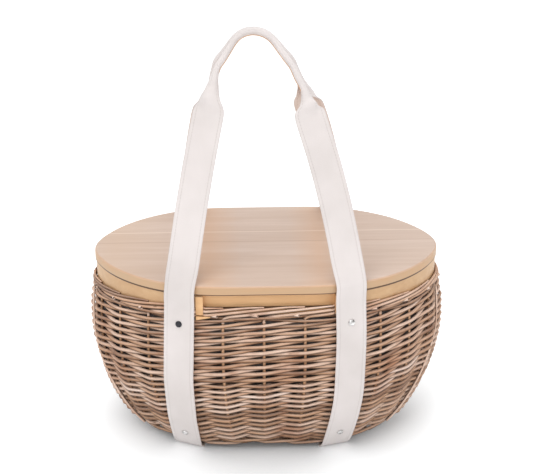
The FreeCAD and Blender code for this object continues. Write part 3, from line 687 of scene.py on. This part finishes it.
def foot_wale():
    """Three waling rods round the foot, each one stake on from the last."""
    rods = Rods()
    for number, height in enumerate(WALE_HEIGHTS):
        wale(rods, height, 0.0016, WALE_RADIUS, number)
    rods.piece("willow_foot_wale", "foot_border", "upsett_weave")


def border_spot(step, z, depth):
    """A point of the border, which is lower at the ends and passes behind the posts beside the recess."""
    point = wall(stake_fraction(step), z, depth)
    reach = abs(point.x)
    drop = BORDER_DROP * smoothstep(0.130, 0.225, reach) * smoothstep(OPEN_TOP, BORDER_TOP, z)
    if point.y < 0 and z > RIM_BOTTOM - BORDER_RADIUS:
        near, far = RAIL_HALF - POST_WIDTH, RAIL_HALF
        hidden = smoothstep(near - 0.002, near, reach) * (1 - smoothstep(far, far + 0.002, reach))
        depth += 0.0045 * hidden
    return wall(stake_fraction(step), z - drop, depth)


def top_border():
    """Two waling rods, and the stakes' ends bent over into a rolled border above them."""
    rods = Rods()
    wale(rods, 0.2052, 0.0010, 0.0019, 0)
    wale(rods, 0.2090, 0.0010, 0.0019, 1.5)
    stations = ((0.0, 0.2020, 0.0059), (0.02, 0.2070, 0.0058), (0.14, 0.2105, 0.0048),
                (0.45, BORDER_BOTTOM + 0.0012, 0.0026), (1.1, 0.2160, 0.0023), (1.8, 0.2195, 0.0023),
                (2.5, BORDER_TOP, 0.0026), (3.0, BORDER_TOP + 0.0002, 0.0040))
    for number in range(STAKES):
        steps, heights, depths = (spline([s[k] for s in stations], 16) for k in range(3))
        wander = 0.0006 * (rng.random() - 0.5)
        points = [border_spot(number + s, min(z + wander, MOUTH_HEIGHT), d)
                  for s, z, d in zip(steps, heights, depths)]
        count = len(points)
        radii = [BORDER_RADIUS * (1 - 0.45 * smoothstep(0.55, 1.0, k / count)) for k in range(count)]
        # The border's rods take darker tones than the wall's: painted shade among the packed border rods.
        rods.add(points, radii, tone=rod_tone() - 0.12)
        eye = [border_spot(number - 0.40 + 0.05 * k, EYE_HEIGHT, 0.0058 - 0.0011 * k) for k in range(6)]
        rods.add(eye, [EYE_RADIUS] * len(eye), tone=0.85)
    rods.piece("willow_top_border", "top_border")


def rail_wedge():
    """The thin end of rim wood that shows below the left post, tapering to the right."""
    rods = Rods()
    points = []
    for k in range(7):
        point, normal, _ = wall_spot(-RAIL_HALF + 0.0004 + 0.0030 * k, RIM_BOTTOM - 0.0032 + 0.0003 * k, -1)
        points.append(point - normal * 0.0008)
    rods.add(points, [0.0029 - 0.00038 * k for k in range(7)])
    rods.piece("rim_wedge", material=RAIL_WOOD_LIT, slot="rim_wood")


def ribs():
    """One thin rod over the outside of the weave at each end."""
    rods = Rods()
    for stations in RIBS:
        heights, places = (spline([s[k] for s in stations], 6) for k in range(2))
        points = [wall(stake_fraction(place), z, -0.0004) for z, place in zip(heights, places)]
        count = len(points)
        rods.add(points, [0.0019 - 0.0006 * k / count for k in range(count)], upright=True, tone=0.75)
    rods.piece("willow_end_ribs")


def stakes():
    """The uprights that the rods pass in front of and behind."""
    rods = Rods()
    levels = 26
    for number in range(STAKES):
        points = []
        for k in range(levels + 1):
            z = 0.010 + (0.207 - 0.010) * (k / levels) ** 1.3
            points.append(wall(stake_fraction(number), z, STAKE_DEPTH))
        radii = [STAKE_RADIUS * (1.08 - 0.16 * k / levels) for k in range(levels + 1)]
        rods.add(points, radii, upright=True)
    rods.piece("willow_stakes", "stakes", material=STAKE_WILLOW)


def base():
    """The oval base: sticks that fan out from its spine and rods woven over and under them."""
    rods = Rods()

    def spot(fraction, share, z):
        x, y, _ = outline(fraction, FOOT_LENGTH, FOOT_DEPTH)
        return Vector((x * (BASE_SPINE + (1 - BASE_SPINE) * share), y * share, z))

    for number in range(STAKES):
        fraction = stake_fraction(number)
        points = [spot(fraction, 0.02 + 0.98 * k / 8, BASE_HEIGHT) for k in range(9)]
        rods.add(points, [BASE_STICK] * len(points))
    for ring in range(BASE_RINGS):
        share = 0.06 + 0.90 * ring / (BASE_RINGS - 1)
        points = []
        for k in range(STAKES * SAMPLES):
            step = k / SAMPLES
            z = BASE_HEIGHT + 0.0026 * math.cos(math.pi * (step + ring))
            points.append(spot(stake_fraction(step), share, z))
        rods.add(points, [BASE_ROD] * len(points), closed=True, tone=rod_tone())
    rods.piece("willow_base", "base_weave")


# ---------------------------------------------------------------- liner

def liner_wall():
    """The cloth panel round the wall, softly puckered below the rim and laid flat beside it."""
    vertices = []
    coords = []
    faces = []
    for row in range(LINER_ROWS + 1):
        z = LINER_BOTTOM + (LINER_TOP - LINER_BOTTOM) * (row / LINER_ROWS) ** 1.2
        for k in range(LINER_RINGS):
            fraction = k / LINER_RINGS
            x, y, _ = outline(fraction, *wall_sizes(z))
            pucker = LINER_PUCKER * noise.noise(Vector((x * 26, y * 26, z * 9)))
            pucker += 0.0006 * math.sin(fraction * 2 * math.pi * 54) * smoothstep(0.16, LINER_TOP, z)
            near_rim = smoothstep(0.203, RIM_BOTTOM, z)
            tuck = LINER_TUCK * near_rim + pucker * (1 - near_rim)
            vertices.append(wall(fraction, z, LINER_DEPTH + LINER_GAP + tuck))
    for row in range(LINER_ROWS):
        for k in range(LINER_RINGS):
            j = (k + 1) % LINER_RINGS
            low, high = row * LINER_RINGS, (row + 1) * LINER_RINGS
            faces.append((low + k, low + j, high + j, high + k))
            u0, u1, v0, v1 = k * 0.0053, (k + 1) * 0.0053, row * 0.01, (row + 1) * 0.01
            coords.append(((u0, v0), (u1, v0), (u1, v1), (u0, v1)))
    panel = place_piece("liner_wall", vertices, faces, coords, LINER_CLOTH, "basket")
    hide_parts("liner")


def liner_floor():
    """The cloth panel on the base. Its edge rises a little past the wall panel's, so that no gap shows."""
    vertices = []
    coords = []
    faces = []
    for ring in range(FLOOR_RINGS + 1):
        share = ring / FLOOR_RINGS
        for k in range(LINER_RINGS):
            rim = wall(k / LINER_RINGS, LINER_BOTTOM, LINER_DEPTH - 0.0002)
            x, y = rim.x * (0.3 + 0.7 * share), rim.y * share
            wrinkle = 0.0009 * noise.noise(Vector((x * 30, y * 30, 1))) * (1 - share)
            lift = (rim.z - LINER_BOTTOM + FLOOR_OVERLAP) * smoothstep(0.80, 1.0, share)
            vertices.append(Vector((x, y, LINER_BOTTOM - 0.0006 + wrinkle + lift)))
    for ring in range(FLOOR_RINGS):
        for k in range(LINER_RINGS):
            j = (k + 1) % LINER_RINGS
            near, far = ring * LINER_RINGS, (ring + 1) * LINER_RINGS
            corners = (near + k, far + k, far + j, near + j)
            faces.append(corners)
            coords.append(tuple((vertices[c].x, vertices[c].y) for c in corners))
    panel = place_piece("liner_floor", vertices, faces, coords, LINER_CLOTH, "basket")


# ---------------------------------------------------------------- webbing

def folded_profile(fold, full_roll):
    """The webbing's middle line across its width: flat at fold 0, nearly closed on itself at fold 1.
    Points run from the edge on the inside of the loop, as (inwards, outwards, turn)."""
    turn = FOLD_TURN * fold
    angle = fold * (math.pi / 2 - FOLD_TURN / 2)
    weights = []
    for k in range(WEB_SAMPLES):
        place = (k + 0.5) / WEB_SAMPLES - 0.5
        crease = math.exp(-(place / 0.16) ** 2)
        quarters = math.exp(-((abs(place) - 0.25) / 0.07) ** 2)
        weights.append(crease * (1 - fold) + quarters * fold + 0.02)
    total = sum(weights)
    inwards, outwards = 0.0, 0.0
    found = [(inwards, outwards, angle)]
    for weight in weights:
        bend = turn * weight / total
        angle += bend / 2
        inwards -= WEB_STEP * math.cos(angle)
        outwards -= WEB_STEP * math.sin(angle)
        angle += bend / 2
        found.append((inwards, outwards, angle))
    middle_in = (min(p[0] for p in found) + max(p[0] for p in found)) / 2
    middle_out = (min(p[1] for p in found) + max(p[1] for p in found)) / 2
    roll = full_roll * fold
    cos_roll, sin_roll = math.cos(roll), math.sin(roll)
    placed = []
    for inwards, outwards, angle in found:
        a, b = inwards - middle_in, outwards - middle_out
        placed.append((a * cos_roll - b * sin_roll, a * sin_roll + b * cos_roll, angle - roll))
    return placed


def strap_stations(side, hand):
    """From the underside's middle up to the rim: (centre, face, way to the loop's inside, fold)."""
    half = WEB_THICK / 2
    low_x = interpolate(STRAP_X[side, hand], 0)
    middle_x = (low_x + interpolate(STRAP_X[-side, hand], 0)) / 2
    down = Vector((0, 0, -1))
    square = Vector((-hand, 0, 0))
    found = []
    for share in (0, 0.4, 0.8, 1.0):
        place = Vector((middle_x + (low_x - middle_x) * share, side * STRAP_FLAT * share, half))
        found.append((place, down, square, 0))
    edge, _, along = wall_spot(low_x, 0.006, side)
    level = Vector((-side * along.y, side * along.x, 0))
    for out, height, fall in STRAP_TURN:
        fall = math.radians(fall)
        normal = level * math.cos(fall) + down * math.sin(fall)
        found.append((Vector((edge.x, edge.y, height)) + level * out, normal, along * -hand, 0))
    for z in STRAP_HEIGHTS:
        point, normal, along = wall_spot(interpolate(STRAP_X[side, hand], z), z, side)
        if z > MOUTH_HEIGHT - 0.001:
            normal = Vector((normal.x, normal.y, 0)).normalized()
        found.append((point + normal * WEB_LIFT, normal, along * -hand, 0))
    top = found[-1][0].copy()
    top.z = STRAP_TOP
    found.append((top, *found[-1][1:]))
    return found


def leg_stations(side, hand):
    """From the rim up the leg to the top of the grip, with the same four values."""
    foot = Vector((0, side * LEG_FOOT.y, LEG_FOOT.z))
    top = Vector((0, side * GRIP_Y, GRIP_Z[side]))
    up = (top - foot).normalized()
    length = (top - foot).length
    out = Vector((0, side * up.z, -side * up.y))
    arc_radius, arc_turn = GRIP_ARC[hand]
    arc_x = arc_radius * math.sin(arc_turn)
    arc_drop = arc_radius * (1 - math.cos(arc_turn))
    limb_run = (GRIP_START - arc_drop) / math.tan(arc_turn)
    start = length - GRIP_START
    limb_x = GRIP_TOP_X + hand * (arc_x + limb_run)
    middle, spread = LEG_BASE[side]
    x = middle + hand * spread
    edge, level, along = wall_spot(x, 0, side, (LID_HALF_LENGTH, -LID_FRONT))
    foot_station = (Vector((edge.x, edge.y, LEG_FOOT.z - 0.001)) + level * 0.0022, level, along * -hand, 0)

    neck, neck_shift = NECK[side, hand]
    places = []
    for share in LEG_SHARES:
        bow = LEG_BOW[hand] * math.sin(math.pi * share)
        bow += neck_shift * math.exp(-((share - neck) / NECK_REACH) ** 2)
        places.append((x + (limb_x - x) * share + hand * bow, start * share, share))
    for share in (0.33, 0.67):
        run = start + (length - arc_drop - start) * share
        places.append((limb_x - hand * limb_run * share, run, 1.0 + 0.1 * share))
    for share in (1.0, 0.66, 0.33, 0.0):
        turn = arc_turn * share
        rise = length - arc_radius * (1 - math.cos(turn))
        places.append((GRIP_TOP_X + hand * arc_radius * math.sin(turn), rise, 2.0))

    found = [foot_station]
    last = len(places) - 1
    for k, (place, run, share) in enumerate(places):
        behind, ahead = places[max(k - 1, 0)], places[min(k + 1, last)]
        way = math.atan2(ahead[1] - behind[1], -hand * (ahead[0] - behind[0])) if k < last else 0.0
        inside = Vector((-hand * math.sin(way), 0, 0)) - up * math.cos(way)
        fold = smoothstep(*FOLD_SPAN[side, hand], share)
        found.append((foot + up * run + Vector((place, 0, 0)), out, inside, fold))
    return found


def webbing_stations(side):
    """The whole run of one handle's webbing, from strap to strap, in small steps."""
    rising = leg_stations(side, side)
    falling = leg_stations(side, -side)[:-1]
    stations = strap_stations(side, side) + rising + falling[::-1] + strap_stations(side, -side)[::-1]
    centres, faces, insides, folds = (spline([s[k] for s in stations], 6) for k in range(4))
    return centres, faces, insides, [min(max(f, 0.0), 1.0) for f in folds]


def webbing(side, name):
    """One handle: a single length of webbing, flat on the wall and folded round its core at the grip."""
    centres, outs, insides, folds = webbing_stations(side)
    ring = 2 * (WEB_SAMPLES + 1)
    vertices = []
    coords = []
    faces = []
    marks = []
    travel = 0.0
    travels = []
    last = len(centres) - 1
    core = Rods()
    core_points = []
    for k, (centre, out, inside, fold) in enumerate(zip(centres, outs, insides, folds)):
        if k:
            travel += (centre - centres[k - 1]).length
        travels.append(travel)
        inward = inside.normalized()
        outward = (out - inward * out.dot(inward)).normalized()
        profile = folded_profile(fold, FOLD_ROLL[side])
        for offset in (WEB_THICK / 2, -WEB_THICK / 2):
            order = profile if offset > 0 else profile[::-1]
            for number, (a, b, turn) in enumerate(order):
                edge = min(number, WEB_SAMPLES - number) / WEB_SAMPLES
                lift = offset * (1 - 0.35 * math.exp(-(edge / 0.03) ** 2))
                point = centre + inward * (a - lift * math.sin(turn))
                point += outward * (b + lift * math.cos(turn))
                point.z = max(point.z, 0.0)
                vertices.append(point)
        if fold > 0.97:
            core_points.append(centre + inward * CORE_OFFSET)
    for k in range(last):
        for i in range(ring):
            j = (i + 1) % ring
            near, far = k * ring, (k + 1) * ring
            faces.append((near + i, near + j, far + j, far + i))
            v0, v1 = i * WEB_STEP, (i + 1) * WEB_STEP
            coords.append(((travels[k], v0), (travels[k], v1), (travels[k + 1], v1), (travels[k + 1], v0)))
            # The inner faces take the reverse colours, painted warm bounce light and shade.
            marks.append(1 if i > WEB_SAMPLES else 0)
    for cap in (tuple(range(ring)), tuple(last * ring + i for i in reversed(range(ring)))):
        faces.append(cap)
        coords.append(tuple((0.0, i * WEB_STEP) for i in range(ring)))
        marks.append(0)
    piece = place_piece(name + "_webbing", vertices, faces, coords, WEBBING, None, None,
                        WEBBING_BACK, marks)
    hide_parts("strap_left", "strap_right", name + "_leg_left", name + "_leg_right", name + "_grip")
    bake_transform(piece)

    # The tan core shows along the grip's inner edge as painted warm shade.
    core.add(core_points, [CORE_RADIUS] * len(core_points))
    place_piece(name + "_grip_core", core.vertices, core.faces, core.coords, TAN_CORE_SHADE,
                name + "_handle")


# ---------------------------------------------------------------- finishes of the frame's own parts

def finish_nodes(material, *names):
    """Gives CAD nodes their finish."""
    for name in names:
        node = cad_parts[name]
        node.data.materials.clear()
        node.data.materials.append(material)


def finishes():
    """The wood and the metal of the frame's own parts."""
    finish_nodes(LID_WOOD, "lid_board_front", "lid_board_middle", "lid_board_back")
    finish_nodes(RIM_WOOD, "rim_band_left", "rim_band_right", "lid_batten_left", "lid_batten_right")
    finish_nodes(RAIL_WOOD_LIT, "front_rail")
    # The left upper rivet takes a painted dark reflection.
    finish_nodes(DARK_REFLECTION_RIVET_METAL, "front_upper_rivets")
    finish_nodes(RIVET_METAL, "front_lower_rivets", "back_upper_rivets", "back_lower_rivets",
                 "rivet_washers")
    finish_nodes(BRASS, "hinge_frame_leaf_left", "hinge_frame_leaf_right", "hinge_lid_leaf_left",
                 "hinge_lid_leaf_right")
    finish_nodes(STEEL, "hinge_pin_left", "hinge_pin_right", "hinge_frame_screws", "hinge_lid_screws",
                 "batten_screws")


# ---------------------------------------------------------------- floor, light and camera

def studio():
    """A pale floor that glows away from the basket, a white world, the lamps and the camera."""
    mesh = bpy.data.meshes.new("floor")
    reach = 30.0
    mesh.from_pydata([(-reach, -reach, 0), (reach, -reach, 0), (reach, reach, 0), (-reach, reach, 0)], [],
                     [(0, 1, 2, 3)])
    g = Graph("floor_paper", Specular_IOR_Level=0.1)
    tooth = g.noise(g.place(300, 300, 300), 1.0, 2.0)
    away = g.node("VectorMath", {0: g.place(1.5, 1, 1)}, operation="LENGTH").outputs["Value"]
    glow = g.span(away, 0.15, 0.40, 0.04, 0.33)
    g.feed(g.shader, {"Emission Color": (1, 1, 1, 1), "Emission Strength": glow})
    mesh.materials.append(g.finish(g.ramp(tooth, (0.3, (0.91, 0.925, 0.935)), (0.7, (0.93, 0.945, 0.955))),
                                   g.span(tooth, 0.3, 0.7, 0.7, 0.8)))
    floor = bpy.data.objects.new("floor", mesh)
    bpy.context.scene.collection.objects.link(floor)

    world = bpy.data.worlds.new("studio")
    world.use_nodes = True
    world.node_tree.nodes["Background"].inputs["Color"].default_value = (1, 1, 1, 1)
    world.node_tree.nodes["Background"].inputs["Strength"].default_value = 0.72
    bpy.context.scene.world = world

    for name, place, size, energy in LAMPS:
        light = bpy.data.lights.new(name, "AREA")
        light.size = size
        light.energy = energy
        lamp = bpy.data.objects.new(name, light)
        lamp.location = place
        lamp.rotation_euler = (TARGET - Vector(place)).to_track_quat("-Z", "Y").to_euler()
        bpy.context.scene.collection.objects.link(lamp)

    data = bpy.data.cameras.new("camera")
    data.lens = CAMERA_LENS
    camera = bpy.data.objects.new("camera", data)
    flat = math.cos(CAMERA_ELEVATION)
    back = Vector((-math.sin(CAMERA_YAW) * flat, -math.cos(CAMERA_YAW) * flat, math.sin(CAMERA_ELEVATION)))
    camera.location = TARGET + back * CAMERA_DISTANCE
    turn = (-back).to_track_quat("-Z", "Y").to_matrix() @ Matrix.Rotation(CAMERA_ROLL, 3, "Z")
    camera.rotation_euler = turn.to_euler()
    bpy.context.scene.collection.objects.link(camera)
    bpy.context.scene.camera = camera
    bpy.context.scene.view_settings.view_transform = "Standard"


studio()
tight_weave()
open_weave()
foot_wale()
top_border()
rail_wedge()
ribs()
stakes()
base()
liner_wall()
liner_floor()
webbing(-1, "front")
webbing(1, "back")
finishes()
